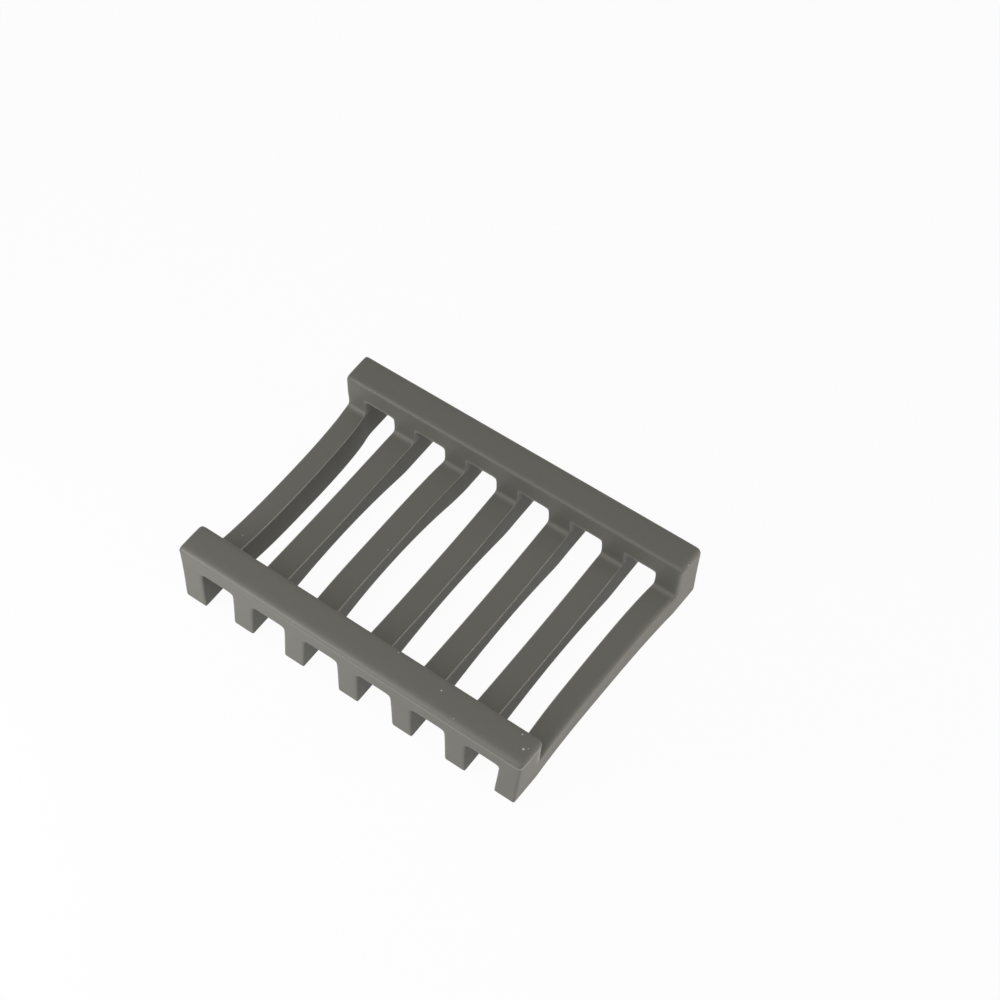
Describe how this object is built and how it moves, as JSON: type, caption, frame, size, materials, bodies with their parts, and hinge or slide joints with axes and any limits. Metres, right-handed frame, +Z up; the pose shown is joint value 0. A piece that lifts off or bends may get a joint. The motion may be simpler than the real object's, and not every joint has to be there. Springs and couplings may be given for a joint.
{
  "type": "soap dish",
  "caption": "Slatted soap dish in soft silicone: raised rails at front and back hold a bar on seven slats, and water drains through the open slots between its feet.",
  "frame": {"origin": "on the surface the dish stands on, under the middle of its footprint", "axes": "+X along the rails, +Y from the front rail to the rear rail, +Z up"},
  "size_m": [0.115, 0.0854, 0.022],
  "materials": {
    "silicone": "matte, dark warm grey moulded silicone"
  },
  "bodies": {
    "root": {"front_rail": "silicone", "rear_rail": "silicone", "slat_1": "silicone", "slat_2": "silicone", "slat_3": "silicone", "slat_4": "silicone", "slat_5": "silicone", "slat_6": "silicone", "slat_7": "silicone", "front_foot_1": "silicone", "front_foot_2": "silicone", "front_foot_3": "silicone", "front_foot_4": "silicone", "front_foot_5": "silicone", "front_foot_6": "silicone", "front_foot_7": "silicone", "rear_foot_1": "silicone", "rear_foot_2": "silicone", "rear_foot_3": "silicone", "rear_foot_4": "silicone", "rear_foot_5": "silicone", "rear_foot_6": "silicone", "rear_foot_7": "silicone"}
  },
  "joints": []
}
